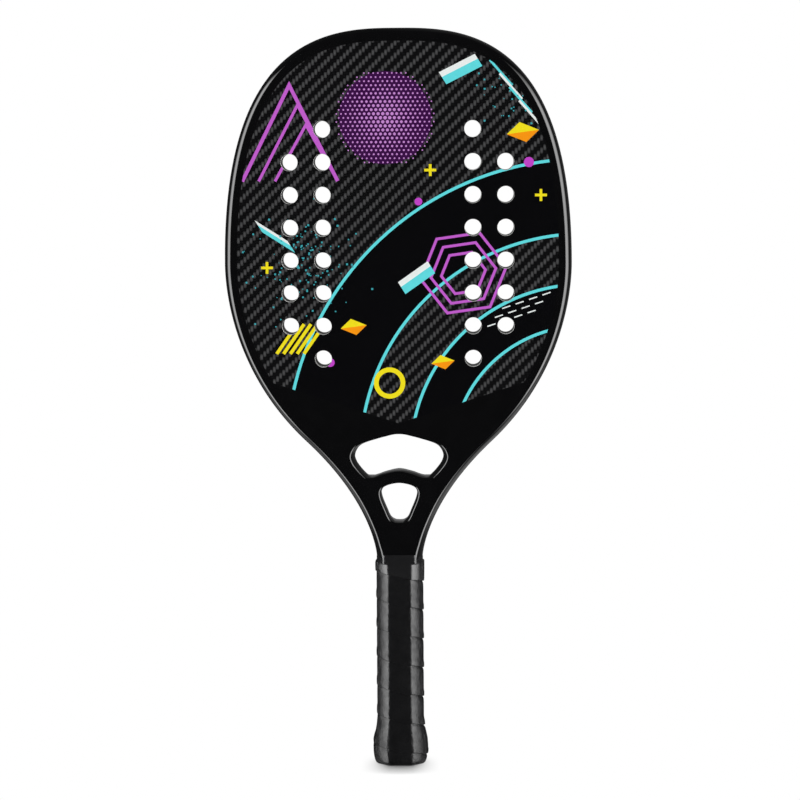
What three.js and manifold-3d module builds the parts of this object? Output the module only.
// A carbon beach tennis racket, from the pieces that its maker joins: a hollow tube bent
// round the head and down into the handle, a moulded bridge between its two legs, a foam
// core between two woven skins, and an octagonal handle with a flared cap and wound tape.
//
// Millimetres. X runs across the face, Y through its thickness with the front face
// towards -Y, and Z runs up from the bottom of the butt cap.

import * as THREE from "three";
import { mergeVertices } from "three/addons/utils/BufferGeometryUtils.js";
import Module from "manifold-3d";

// Overall sizes of the moulded body
const overallLength = 500;
const headWidth = 234.3;
const headThickness = 22;
const widestHeight = 342.5;
const waistWidth = 125.7;
const waistHeight = 221.3;

// The shoulder is the top of the taped handle. The neck runs straight above it, and swells
// from the head's thickness to the handle's
const shoulderHeight = 138.9;
const neckStraight = 3.5;
const neckSwell = 33.1;

// Roundness of the outer edge: on the head, and at the foot of the neck
const rimFillet = 6;
const neckFillet = 11;
const sideCrown = 0.5;

// Bends of the outline, as shares of the heights and widths that they join
const crownTopShare = 0.338;
const crownSideShare = 1.008;
const flankTopShare = 0.194;
const flankFootShare = 0.527;
const neckTopShare = 0.75;
const neckFootShare = 0.05;
const waistLean = THREE.MathUtils.degToRad(46.74);

// The tube's wall as seen from the front: rim band, seat for the skins, bore
const rimBand = 9;
const skinSeat = 3;
const tubeWall = 3;
const boreFaceWall = 2;
const skinThickness = 1.2;
const fitGap = 0.3;
const overrun = 2;

// Lower edge of the skins: a shallow V, its tip above the waist
const vTipRise = 13.4;
const vRiseShare = 0.325;

// Holes drilled through skins and core: two columns each side, on one square pitch
const holeDiameter = 11;
const holePitch = 22;
const innerColumnOffset = 50.5;
const holeFieldHeight = 355.5;
const innerColumnHoles = 8;
const outerColumnHoles = 6;
const holeLand = 5;
const holeHalfSides = 8;

// Bridge between the legs: its tail above the shoulder, and its two openings. Their top and
// foot are shares of the way from the tail to the tip of the V, and the side walls are
// what is left of the bridge beside the widest point of each. Their walls draw back by a
// draft from the middle of the thickness to both faces
const yokeTailRise = 11.1;
const openingFillet = 2;
const archTopShare = 0.9;
const archFootShare = 0.567;
const archSideWall = 7.1;
const archDraft = 2.3;
const keyTopShare = 0.5065;
const keyFootShare = 0.208;
const keySideWall = 6.9;
const keyDraft = 1.3;

// Half outlines of the openings from top to foot: share of the half width, share of the height
const archOutlineShares = [
  [0, 1], [0.31, 0.94], [0.5, 0.89], [0.68, 0.837], [0.84, 0.775], [0.94, 0.705], [0.99, 0.61],
  [1, 0.5], [0.958, 0.368], [0.872, 0.222], [0.762, 0.076], [0.685, 0.016], [0.6, 0],
  [0.5, 0.027], [0.316, 0.098], [0, 0.162],
];
const keyOutlineShares = [
  [0, 1], [0.4, 0.975], [0.7, 0.93], [0.88, 0.88], [0.97, 0.82], [1, 0.76], [0.95, 0.636],
  [0.88, 0.474], [0.79, 0.312], [0.65, 0.146], [0.52, 0.07], [0.3, 0.012], [0, 0],
];

// Handle: an octagon under the tape, thinner below the shoulder of the cap
const coreWidth = 28.2;
const coreThickness = 25.3;
const coreBevel = 7;
const coreRound = 2;
const capHeight = 32;
const capSkirt = 2;
const knotRoom = 8;
const legWebWidth = 3.8;
const legBoreWall = 2.7;
const legBoreDepth = 15;
const legBoreChamfer = 3;
const foamSetback = 4;

// Butt cap: floor, cord hole, lip below the tape and the flare above it
const capFloor = 4;
const cordHoleDiameter = 8;
const lipHeight = 3.6;
const lipReach = 3.6;
const lipEdgeRadius = 2.2;
const capFlare = 2.85;
// Flare above the lip: share of the way from lip to skirt top, share of the full flare
const flareShares = [[0, 0.78], [0.15, 0.96], [0.29, 1], [0.45, 0.86], [0.62, 0.5], [0.8, 0.17], [1, 0]];

// Grip tape: one strip wound with lapped turns, its lower edge over the turn below
const tapePitch = 20;
const tapeLap = 3;
const tapeSeat = 0.3;
const tapeThickness = 1.35;
const tapeSkivedThickness = 0.5;
const tapeLapThickness = 0.75;
const tapeLapGap = 0.45;
const tapeRamp = 0.6;
const tapeSkiveRamp = 0.8;
const tapeTipHeight = 2;
const tapeEndHeight = 5;
const tapeStartOffset = -6.25;
const tapeStep = 0.2;

// Finishing tape: over the end of the strip and the foot of the neck
const bandThickness = 0.4;
const bandRise = 4.1;
const bandDrop = 7.9;
const bandFootSlant = 5;

// Facets along one half of the outline
const crownSteps = 14;
const flankSteps = 9;
const neckSteps = 8;
const filletAngles = [0, 30, 60, 90].map(THREE.MathUtils.degToRad);
const openingSmoothing = 2;

// Heights and widths that follow from the sizes above: the neck is flush with the tape
const neckHeight = shoulderHeight + neckStraight;
const neckWidth = coreWidth + 2 * (tapeSeat + tapeThickness);
const neckThickness = coreThickness + 2 * (tapeSeat + tapeThickness);
const yokeTailHeight = shoulderHeight + yokeTailRise;
const vTipHeight = waistHeight + vTipRise;

const finishes = {
  lacquer: { color: 0x0b0b0c, roughness: 0.12, metalness: 0 },
  weave: { color: 0x2b2b2e, roughness: 0.3, metalness: 0 },
  foam: { color: 0xb9b9b6, roughness: 0.9, metalness: 0 },
  capPlastic: { color: 0x101011, roughness: 0.45, metalness: 0 },
  tape: { color: 0x1b1b1c, roughness: 0.5, metalness: 0 },
  vinyl: { color: 0x171718, roughness: 0.35, metalness: 0 },
};

const wasm = await Module();
wasm.setup();

// A closed geometry of this file as a solid for cuts and joins
function solid(geometry) {
  const bare = geometry.clone();
  bare.deleteAttribute("normal");
  bare.deleteAttribute("uv");
  const merged = mergeVertices(bare);
  return new wasm.Manifold(new wasm.Mesh({
    numProp: 3,
    vertProperties: new Float32Array(merged.attributes.position.array),
    triVerts: new Uint32Array(merged.index.array),
  }));
}

function geometryOf(manifold) {
  const mesh = manifold.getMesh();
  const geometry = new THREE.BufferGeometry();
  geometry.setAttribute("position", new THREE.BufferAttribute(mesh.vertProperties, 3));
  geometry.setIndex(new THREE.BufferAttribute(mesh.triVerts, 1));
  return geometry;
}

// Six times the volume inside the triangles: positive where they face outwards
function signedVolume(points, triangles) {
  let sum = 0;
  for (let i = 0; i < triangles.length; i += 3) {
    const [a, b, c] = [0, 1, 2].map((k) => points[triangles[i + k]]);
    sum += a.dot(new THREE.Vector3().crossVectors(b, c));
  }
  return sum;
}

function geometryFrom(points, triangles) {
  const facing = signedVolume(points, triangles) > 0 ? triangles : triangles.toReversed();
  const geometry = new THREE.BufferGeometry().setFromPoints(points);
  geometry.setIndex(facing);
  return geometry;
}

// Wall triangles between loops of equal length, each joined to the next
function wallTriangles(loopCount, size, closed = false) {
  const triangles = [];
  const last = closed ? loopCount : loopCount - 1;
  for (let k = 0; k < last; k += 1) {
    const here = k * size;
    const next = ((k + 1) % loopCount) * size;
    for (let i = 0; i < size; i += 1) {
      const j = (i + 1) % size;
      triangles.push(here + i, here + j, next + j, here + i, next + j, next + i);
    }
  }
  return triangles;
}

// Cap of a loop whose points mirror each other across X: strips from side to side
function mirrorCap(start, size) {
  const triangles = [];
  for (let i = 0; i < Math.floor(size / 2); i += 1) {
    const [a, b] = [start + i, start + i + 1];
    const [c, d] = [start + size - 2 - i, start + size - 1 - i];
    if (b <= c) triangles.push(a, b, d);
    if (b < c) triangles.push(b, c, d);
  }
  return triangles;
}

// Cap of any flat loop, its triangles wound the same way as the loop
function earCap(start, outline) {
  const faces = THREE.ShapeUtils.triangulateShape(outline, []);
  const [a, b, c] = faces[0].map((index) => outline[index]);
  const sameWay = THREE.ShapeUtils.isClockWise([a, b, c]) === THREE.ShapeUtils.isClockWise(outline);
  const turned = sameWay ? faces : faces.map((face) => face.toReversed());
  return turned.flat().map((index) => start + index);
}

// A closed body through loops of points, with a cap on the first and the last
function stackGeometry(loops, capOf) {
  const size = loops[0].length;
  const walls = wallTriangles(loops.length, size);
  const first = capOf(0, loops[0]).toReversed();
  const last = capOf((loops.length - 1) * size, loops.at(-1));
  return geometryFrom(loops.flat(), [...walls, ...first, ...last]);
}

const stripCap = (start, loop) => mirrorCap(start, loop.length);
const outlineCap = (start, loop) => earCap(start, loop.map((p) => new THREE.Vector2(p.x, p.z)));

// Outline of the moulded body: right half from the shoulder up to the top of the head,
// with the outward direction at each station
function rimStations() {
  const half = headWidth / 2;
  const neck = neckWidth / 2;
  const crown = overallLength - widestHeight;
  const flank = widestHeight - waistHeight;
  const throat = waistHeight - neckHeight;
  const waist = new THREE.Vector2(waistWidth / 2, waistHeight);
  const lean = new THREE.Vector2(Math.sin(waistLean), Math.cos(waistLean));
  const along = (length) => waist.clone().addScaledVector(lean, length);
  const at = (x, z) => new THREE.Vector2(x, z);
  const curves = [
    [new THREE.LineCurve(at(neck, shoulderHeight), at(neck, neckHeight)), 1],
    [new THREE.CubicBezierCurve(at(neck, neckHeight), at(neck, neckHeight + throat * neckFootShare),
      along(-throat * neckTopShare), waist), neckSteps],
    [new THREE.CubicBezierCurve(waist, along(flank * flankFootShare),
      at(half, widestHeight - flank * flankTopShare), at(half, widestHeight)), flankSteps],
    [new THREE.CubicBezierCurve(at(half, widestHeight), at(half, widestHeight + crown * crownSideShare),
      at(half * crownTopShare, overallLength), at(0, overallLength)), crownSteps],
  ];
  const stations = curves.flatMap(([curve, steps]) => {
    const shares = Array.from({ length: steps }, (_, i) => i / steps);
    return shares.map((share) => {
      const tangent = curve.getTangentAt(share);
      return { point: curve.getPointAt(share), outward: at(tangent.y, -tangent.x) };
    });
  });
  return [...stations, { point: at(0, overallLength), outward: at(0, 1) }];
}

const rim = rimStations();

// The right half of the outline, moved inwards and cut level at the foot
function halfOutline(inset, foot = shoulderHeight) {
  const moved = rim.map(({ point, outward }) => point.clone().addScaledVector(outward, -inset));
  const kept = moved.filter((p) => p.y > foot);
  const below = moved[moved.indexOf(kept[0]) - 1];
  const edge = below ? below.lerp(kept[0], (foot - below.y) / (kept[0].y - below.y)) : kept[0].clone();
  return [edge.setY(foot), ...kept];
}

const mirroredPoint = (point) => point.clone().setX(-point.x);

// Both halves as one loop, from the right half's first point round to its mirror image
function mirrored(half) {
  return [...half, ...half.filter((p) => p.x > 0).toReversed().map(mirroredPoint)];
}

// Half the width inside the outline at a height, with the outline moved inwards
function halfWidthAt(z, inset) {
  const half = halfOutline(inset);
  const next = half.findIndex((p) => p.y > z);
  const [low, high] = [half[next - 1], half[next]];
  return THREE.MathUtils.mapLinear(z, low.y, high.y, low.x, high.x);
}

// How far the body has swollen from head to neck at a height: 0 on the head, 1 at the neck
function swellAt(z) {
  return 1 - THREE.MathUtils.smoothstep(z, shoulderHeight, shoulderHeight + neckSwell);
}

const halfThicknessAt = (z) => THREE.MathUtils.lerp(headThickness, neckThickness, swellAt(z)) / 2;
const filletAt = (z) => THREE.MathUtils.lerp(rimFillet, neckFillet, swellAt(z));

// One layer of the moulded body, at an angle round its edge: 0 on the side, 90 on the face
function bodyLayer(angle, side) {
  return mirrored(rim.map(({ point, outward }) => {
    const fillet = filletAt(point.y);
    const edge = point.clone().addScaledVector(outward, fillet * (Math.cos(angle) - 1) - sideCrown);
    const y = halfThicknessAt(point.y) - fillet * (1 - Math.sin(angle));
    return new THREE.Vector3(edge.x, side * y, Math.max(edge.y, shoulderHeight));
  }));
}

function mouldedBody() {
  const middle = mirrored(rim.map(({ point }) => point)).map((p) => new THREE.Vector3(p.x, 0, p.y));
  const back = filletAngles.map((angle) => bodyLayer(angle, 1)).toReversed();
  const front = filletAngles.map((angle) => bodyLayer(angle, -1));
  return stackGeometry([...back, middle, ...front], stripCap);
}

// A straight block with the given outline across the face, from one Y to another
function slab(points, fromY, toY, holes = []) {
  const shape = new THREE.Shape(points);
  shape.holes = holes;
  const geometry = new THREE.ExtrudeGeometry(shape, {
    depth: toY - fromY, bevelEnabled: false, curveSegments: holeHalfSides,
  });
  return geometry.rotateX(Math.PI / 2).translate(0, toY, 0);
}

const throughY = neckThickness / 2 + overrun;
const throughSlab = (points) => slab(points, -throughY, throughY);

// The V edge of the skins, at a height above the V of its own
const vAt = (x, tip) => tip + vRiseShare * Math.abs(x);

// The half outline above the V edge, from its tip on the centre line
function halfFace(inset, tip) {
  const half = halfOutline(inset);
  const kept = half.filter((p) => p.y > vAt(p.x, tip));
  const above = kept[0];
  const below = half[half.indexOf(above) - 1];
  const over = above.y - vAt(above.x, tip);
  const under = vAt(below.x, tip) - below.y;
  return [new THREE.Vector2(0, tip), above.clone().lerp(below, over / (over + under)), ...kept];
}

function faceOutline(inset, tip) {
  const [tipPoint, ...side] = halfFace(inset, tip);
  return [tipPoint, ...mirrored(side)];
}

const coreOutline = faceOutline(rimBand + skinSeat + fitGap, vTipHeight + skinSeat + fitGap);

// Distance from a point to the nearest edge of a closed outline
function distanceToOutline(point, outline) {
  const nearest = new THREE.Vector3();
  const flat = (p) => new THREE.Vector3(p.x, p.y, 0);
  return Math.min(...outline.map((p, i) => {
    const edge = new THREE.Line3(flat(p), flat(outline[(i + 1) % outline.length]));
    return edge.closestPointToPoint(flat(point), true, nearest).distanceTo(flat(point));
  }));
}

// Inside a closed outline, an upright line from the point crosses it an odd number of times
function isInside(point, outline) {
  const crossed = outline.filter((a, i) => {
    const b = outline[(i + 1) % outline.length];
    const spans = (a.x > point.x) !== (b.x > point.x);
    return spans && THREE.MathUtils.mapLinear(point.x, a.x, b.x, a.y, b.y) > point.y;
  });
  return crossed.length % 2 === 1;
}

// A hole is drilled where it and the land round it lie wholly on the core
function holeFits(centre) {
  const clear = distanceToOutline(centre, coreOutline) > holeDiameter / 2 + holeLand;
  return clear && isInside(centre, coreOutline);
}

// Centres of the drilled holes
function holeCentres() {
  const outerColumnOffset = innerColumnOffset + holePitch;
  const columns = [[innerColumnOffset, innerColumnHoles], [outerColumnOffset, outerColumnHoles]];
  const all = columns.flatMap(([offset, count]) => [-offset, offset].flatMap((x) => {
    const rows = Array.from({ length: count }, (_, row) => row - (count - 1) / 2);
    return rows.map((row) => new THREE.Vector2(x, holeFieldHeight + row * holePitch));
  }));
  return all.filter(holeFits);
}

function holePaths() {
  return holeCentres().map((centre) => {
    const path = new THREE.Path();
    return path.absarc(centre.x, centre.y, holeDiameter / 2, 0, Math.PI * 2, true);
  });
}

const skinInnerY = headThickness / 2 - skinThickness;
const coreHalfThickness = skinInnerY - fitGap;

function skin(side) {
  const outline = faceOutline(rimBand + fitGap, vTipHeight);
  const [from, to] = [side * headThickness / 2, side * skinInnerY].sort((a, b) => a - b);
  return slab(outline, from, to, holePaths());
}

const foamCore = () => slab(coreOutline, -coreHalfThickness, coreHalfThickness, holePaths());

// The shallow recess on both faces that the skins lie in
function skinRecesses() {
  const outline = faceOutline(rimBand, vTipHeight - fitGap);
  const front = solid(slab(outline, -throughY, -coreHalfThickness));
  return front.add(solid(slab(outline, coreHalfThickness, throughY)));
}

// Points of the handle's octagon with rounded corners, moved outwards by an offset.
// They run anticlockwise seen from above and start on the right, behind the middle.
function octagonRing(offset, z) {
  const [a, b] = [coreWidth / 2, coreThickness / 2];
  const diagonal = (a + b - coreBevel - coreRound * Math.SQRT2);
  const radius = coreRound + offset;
  const sideCentre = [a - coreRound, diagonal - a + coreRound];
  const faceCentre = [diagonal - b + coreRound, b - coreRound];
  const corner = ([x, y], degrees) => {
    const angle = THREE.MathUtils.degToRad(degrees);
    return new THREE.Vector3(x + radius * Math.cos(angle), y + radius * Math.sin(angle), z);
  };
  return fourQuarters([
    corner(sideCentre, 0), corner(sideCentre, 45), corner(faceCentre, 45), corner(faceCentre, 90),
  ]);
}

// A section that is mirrored left to right and front to back, from its first quarter
function fourQuarters(quarter) {
  const flip = (points, sx, sy) => points.map((p) => new THREE.Vector3(sx * p.x, sy * p.y, p.z));
  const turned = quarter.toReversed();
  return [...quarter, ...flip(turned, -1, 1), ...flip(quarter, -1, -1), ...flip(turned, 1, -1)];
}

// The neck's section at its foot, with as many points as the octagon
function neckRing(offset, z) {
  const radius = neckFillet + offset;
  const x = neckWidth / 2 - neckFillet;
  const y = neckThickness / 2 - neckFillet;
  return fourQuarters(filletAngles.map((angle) => (
    new THREE.Vector3(x + radius * Math.cos(angle), y + radius * Math.sin(angle), z))));
}

const ringCap = (start, loop) => earCap(start, loop.map((p) => new THREE.Vector2(p.x, p.y)));
const spigotFoot = capFloor + knotRoom;

// The octagon under the tape, and the thinner end that plugs into the cap
function handleBody() {
  return stackGeometry([
    octagonRing(-capSkirt, spigotFoot),
    octagonRing(-capSkirt, capHeight + fitGap),
    octagonRing(0, capHeight + fitGap),
    octagonRing(0, shoulderHeight + overrun),
  ], ringCap);
}

// The legs' bore in the handle, drawn for the right leg and moved in from its wall
function legBoreSection(inset) {
  const inner = legWebWidth / 2 + inset;
  const outer = coreWidth / 2 - capSkirt - legBoreWall - inset;
  const side = legBoreDepth / 2 - inset;
  const chamfer = legBoreChamfer;
  return [[inner, -side], [outer - chamfer, -side], [outer, chamfer - side],
    [outer, side - chamfer], [outer - chamfer, side], [inner, side]]
    .map(([x, y]) => new THREE.Vector2(x, y));
}

function legRod(inset, fromZ, toZ, side) {
  const shape = new THREE.Shape(legBoreSection(inset).map((p) => new THREE.Vector2(side * p.x, p.y)));
  const rod = new THREE.ExtrudeGeometry(shape, { depth: toZ - fromZ, bevelEnabled: false });
  return rod.translate(0, 0, fromZ);
}

const legBoreTop = yokeTailHeight - tubeWall;

// The hollow of the tube: round the head and down both legs, open at the butt
function tubeBore() {
  const foot = legBoreTop - 2 * tubeWall;
  const outside = mirrored(halfOutline(tubeWall, foot));
  const inside = mirrored(halfOutline(rimBand, foot - overrun));
  const halfDepth = coreHalfThickness - boreFaceWall;
  const round = solid(slab(outside, -halfDepth, halfDepth)).subtract(solid(throughSlab(inside)));
  return [-1, 1].reduce((bore, side) => (
    bore.add(solid(legRod(0, spigotFoot - overrun, legBoreTop, side)))), round);
}

// The space inside the tube's loop, which the core and the bridge fill
function insideTube(gap) {
  return throughSlab(mirrored(halfOutline(rimBand + skinSeat + gap, yokeTailHeight + gap)));
}

function frameTube() {
  const body = solid(mouldedBody()).add(solid(handleBody()));
  return geometryOf(body.subtract(solid(insideTube(0))).subtract(skinRecesses()).subtract(tubeBore()));
}

// A smooth loop through the outline shares of one opening, with the direction out of it.
// Top and foot are shares of the bridge's height
function openingStations(shares, topShare, footShare, sideWall) {
  const heightAt = (share) => THREE.MathUtils.lerp(yokeTailHeight, vTipHeight, share);
  const [top, foot] = [heightAt(topShare), heightAt(footShare)];
  const [, widest] = shares.find(([x]) => x === 1);
  const bridge = halfWidthAt(THREE.MathUtils.lerp(foot, top, widest), rimBand + skinSeat + fitGap);
  const half = shares.map(([x, z]) => (
    new THREE.Vector3(x * (bridge - sideWall), 0, THREE.MathUtils.lerp(foot, top, z))));
  const curve = new THREE.CatmullRomCurve3(mirrored(half), true, "centripetal");
  const count = openingSmoothing * mirrored(half).length;
  return Array.from({ length: count }, (_, i) => {
    const tangent = curve.getTangent(i / count);
    return { point: curve.getPoint(i / count), outward: new THREE.Vector3(-tangent.z, 0, tangent.x) };
  });
}

// The cutter of an opening: closest in the middle of the thickness, drawn back to both
// faces by the draft, and flared there so that its edges come out rounded
function openingCutter(stations, draft) {
  const layer = (outset, past, side) => stations.map(({ point, outward }) => (
    point.clone().addScaledVector(outward, outset).setY(side * (halfThicknessAt(point.z) + past))));
  const edge = (side) => [
    ...filletAngles.map((angle) => layer(draft + openingFillet * (1 - Math.cos(angle)),
      openingFillet * (Math.sin(angle) - 1), side)),
    layer(draft + openingFillet, overrun, side),
  ];
  const middle = stations.map(({ point }) => point.clone());
  return stackGeometry([...edge(1).toReversed(), middle, ...edge(-1)], outlineCap);
}

// Everything above the V edge, to trim the bridge by
function aboveV(tip) {
  const heights = [vAt(headWidth, tip), 2 * overallLength];
  const side = heights.map((z) => new THREE.Vector2(headWidth, z));
  return throughSlab([new THREE.Vector2(0, tip), ...mirrored(side)]);
}

function throatYoke() {
  const blank = solid(mouldedBody()).intersect(solid(insideTube(fitGap)));
  const arch = openingStations(archOutlineShares, archTopShare, archFootShare, archSideWall);
  const key = openingStations(keyOutlineShares, keyTopShare, keyFootShare, keySideWall);
  const openings = [openingCutter(arch, archDraft), openingCutter(key, keyDraft)];
  const cuts = [aboveV(vTipHeight + skinSeat), ...openings].map(solid);
  return geometryOf(cuts.reduce((body, cut) => body.subtract(cut), blank).subtract(skinRecesses()));
}

// How far the cap stands out from the octagon under the tape at a height
function flareAt(z) {
  const share = (z - lipHeight) / (capHeight - lipHeight);
  if (share >= 1) return 0;
  const next = Math.max(1, flareShares.findIndex(([at]) => at >= share));
  const [from, to] = [flareShares[next - 1], flareShares[next]];
  const along = (share - from[0]) / (to[0] - from[0]);
  return capFlare * THREE.MathUtils.lerp(from[1], to[1], along);
}

function buttCap() {
  const edge = filletAngles.toReversed().map((angle) => octagonRing(
    lipReach - lipEdgeRadius * (1 - Math.cos(angle)), lipEdgeRadius * (1 - Math.sin(angle))));
  const flare = flareShares.map(([at, reach]) => (
    octagonRing(capFlare * reach, THREE.MathUtils.lerp(lipHeight, capHeight, at))));
  const outside = stackGeometry([...edge, octagonRing(lipReach, lipHeight), ...flare], ringCap);
  const socket = [capFloor, capHeight + overrun].map((z) => octagonRing(fitGap - capSkirt, z));
  const hole = new THREE.CylinderGeometry(cordHoleDiameter / 2, cordHoleDiameter / 2,
    2 * (capFloor + overrun), 2 * holeHalfSides).rotateX(Math.PI / 2);
  return geometryOf(solid(outside).subtract(solid(stackGeometry(socket, ringCap))).subtract(solid(hole)));
}

// Offset of the strip's two faces above the octagon, by the height above its lower edge
const tapeInner = tapeSeat;
const tapeOuter = tapeSeat + tapeThickness;
const tapeSkived = tapeSeat + tapeSkivedThickness;
const tapeLapInner = tapeSkived + tapeLapGap;
const tapeLapOuter = tapeLapInner + tapeLapThickness;
const tapeWidth = tapePitch + tapeLap;

// Share of the plain width between the lap and the skived edge at which the strip is bent
const tapeBendShares = [0.28, 0.52, 0.76];

function stripOutside() {
  const lapEnd = tapeLap + fitGap;
  const plain = lapEnd + 2 * tapeRamp;
  const skive = tapePitch - tapeLapGap;
  const bends = tapeBendShares.map((share) => [THREE.MathUtils.lerp(plain, skive, share), tapeOuter]);
  return [[0, tapeLapOuter], [lapEnd, tapeLapOuter], [plain, tapeOuter], ...bends,
    [skive - tapeSkiveRamp, tapeOuter], [skive, tapeSkived], [tapeWidth, tapeSkived]];
}

function stripInside() {
  const lapEnd = tapeLap + fitGap;
  const plain = lapEnd + tapeRamp;
  const skive = tapePitch - tapeLapGap;
  const bends = tapeBendShares.map((share) => [THREE.MathUtils.lerp(plain, skive, share), tapeInner]);
  return [[0, tapeLapInner], [lapEnd, tapeLapInner], [plain, tapeInner], ...bends, [tapeWidth, tapeInner]];
}

// Offset of a face of the strip at any height above its lower edge
function offsetAt(face, s) {
  const next = Math.max(1, face.findIndex(([at]) => at >= s));
  const [from, to] = [face[next - 1], face[next]];
  return THREE.MathUtils.lerp(from[1], to[1], (s - from[0]) / (to[0] - from[0]));
}

// One face of the strip, cut level below a low and above a high point of its width
function trimmedFace(face, low, high) {
  return face.map(([s], i) => {
    const floor = low + (low > 0 ? i * tapeStep : 0);
    const ceiling = high - (high < tapeWidth ? (face.length - 1 - i) * tapeStep : 0);
    const kept = Math.min(Math.max(s, floor), ceiling);
    return [kept, offsetAt(face, kept)];
  });
}

const tapeFoot = lipHeight + fitGap;
const tapeTop = shoulderHeight - fitGap;

// Stations of the strip, one at each corner point of the octagon, from the butt upwards
function tapeStations() {
  const ring = octagonRing(0, 0);
  const sides = ring.map((p, i) => p.distanceTo(ring[(i + 1) % ring.length]));
  const girth = sides.reduce((sum, side) => sum + side, 0);
  const firstCorner = ring.findIndex((p) => p.x < 0 && p.y < 0);
  const stations = [];
  let height = tapeStartOffset;
  const climb = (index) => tapePitch * sides[index] / girth;
  let corner = firstCorner;
  while (height + tapeWidth > tapeFoot + tapeTipHeight) {
    height -= climb(corner);
    corner = (corner + 1) % ring.length;
  }
  while (height < tapeTop - tapeEndHeight) {
    corner = (corner + ring.length - 1) % ring.length;
    height += climb(corner);
    stations.push({ corner, height });
  }
  return stations;
}

function stripSection({ height }) {
  const low = Math.max(0, tapeFoot - height);
  const high = Math.min(tapeWidth, tapeTop - height);
  const outside = trimmedFace(stripOutside(), low, high);
  const inside = trimmedFace(stripInside(), low, high).toReversed();
  return [...outside, ...inside].map(([s, offset]) => {
    const z = height + s;
    return { z, offset: offset + flareAt(z) };
  });
}

// Least gap between one turn and the next, measured in the plane of each corner
function leastTapeGap(stations, perTurn) {
  let least = Infinity;
  const flat = (station) => stripSection(station).map(({ z, offset }) => new THREE.Vector3(offset, z, 0));
  const closest = new THREE.Vector3();
  for (let i = 0; i + perTurn < stations.length; i += 1) {
    const [lower, upper] = [flat(stations[i]), flat(stations[i + perTurn])];
    for (const [points, edges] of [[lower, upper], [upper, lower]]) {
      edges.forEach((from, k) => {
        const edge = new THREE.Line3(from, edges[(k + 1) % edges.length]);
        for (const point of points) {
          edge.closestPointToPoint(point, true, closest);
          least = Math.min(least, closest.distanceTo(point));
        }
      });
    }
  }
  return least;
}

function gripTape() {
  const stations = tapeStations();
  const loops = stations.map((station) => stripSection(station).map(({ z, offset }) => (
    octagonRing(offset, z)[station.corner])));
  const size = loops[0].length;
  const flat = (station) => stripSection(station).map(({ z, offset }) => new THREE.Vector2(offset, z));
  const first = earCap(0, flat(stations[0])).toReversed();
  const last = earCap((loops.length - 1) * size, flat(stations.at(-1)));
  const perTurn = octagonRing(0, 0).length;
  console.log(`grip tape: ${(stations.length / perTurn).toFixed(2)} turns,`,
    `least gap to itself ${leastTapeGap(stations, perTurn).toFixed(2)} mm`);
  return geometryFrom(loops.flat(), [...wallTriangles(loops.length, size), ...first, ...last]);
}

// The larger of the neck's section and the taped octagon at each of their points
function shoulderRing(neckOffset, tapeOffset, z) {
  const neck = neckRing(neckOffset, z);
  const wider = (a, b) => Math.sign(a) * Math.max(Math.abs(a), Math.abs(b));
  return octagonRing(tapeOffset, z).map((p, i) => (
    new THREE.Vector3(wider(p.x, neck[i].x), wider(p.y, neck[i].y), z)));
}

// The band over the end of the strip: tight on the neck, then out over the tape
function finishingTape() {
  const overTape = tapeLapOuter + fitGap;
  const stepHeight = shoulderHeight + fitGap;
  const [bandTop, bandFoot] = [shoulderHeight + bandRise, shoulderHeight - bandDrop];
  const slanted = (ring) => {
    ring.forEach((p) => { p.z -= bandFootSlant * p.x / (coreWidth / 2); });
    return ring;
  };
  const loops = [
    neckRing(fitGap, bandTop),
    neckRing(fitGap, stepHeight + bandThickness),
    shoulderRing(fitGap, overTape, stepHeight - bandThickness),
    slanted(octagonRing(overTape, bandFoot)),
    slanted(octagonRing(overTape + bandThickness, bandFoot)),
    shoulderRing(fitGap + bandThickness, overTape + bandThickness, stepHeight),
    neckRing(fitGap + bandThickness, stepHeight + 2 * bandThickness),
    neckRing(fitGap + bandThickness, bandTop),
  ];
  return geometryFrom(loops.flat(), wallTriangles(loops.length, loops[0].length, true));
}

function handleFoam(side) {
  return legRod(fitGap, spigotFoot + foamSetback, legBoreTop - foamSetback, side);
}

// Every piece with its finish, in the order of assembly
function racket() {
  const group = new THREE.Group();
  const add = (name, geometry, finish) => {
    const mesh = new THREE.Mesh(geometry, new THREE.MeshStandardMaterial(finishes[finish]));
    mesh.name = name;
    group.add(mesh);
  };
  add("frame_tube", frameTube(), "lacquer");
  add("throat_yoke", throatYoke(), "lacquer");
  add("foam_core", foamCore(), "foam");
  add("front_face", skin(-1), "weave");
  add("back_face", skin(1), "weave");
  add("handle_foam_left", handleFoam(-1), "foam");
  add("handle_foam_right", handleFoam(1), "foam");
  add("butt_cap", buttCap(), "capPlastic");
  add("grip_tape", gripTape(), "tape");
  add("finishing_tape", finishingTape(), "vinyl");
  return group;
}

export default racket();
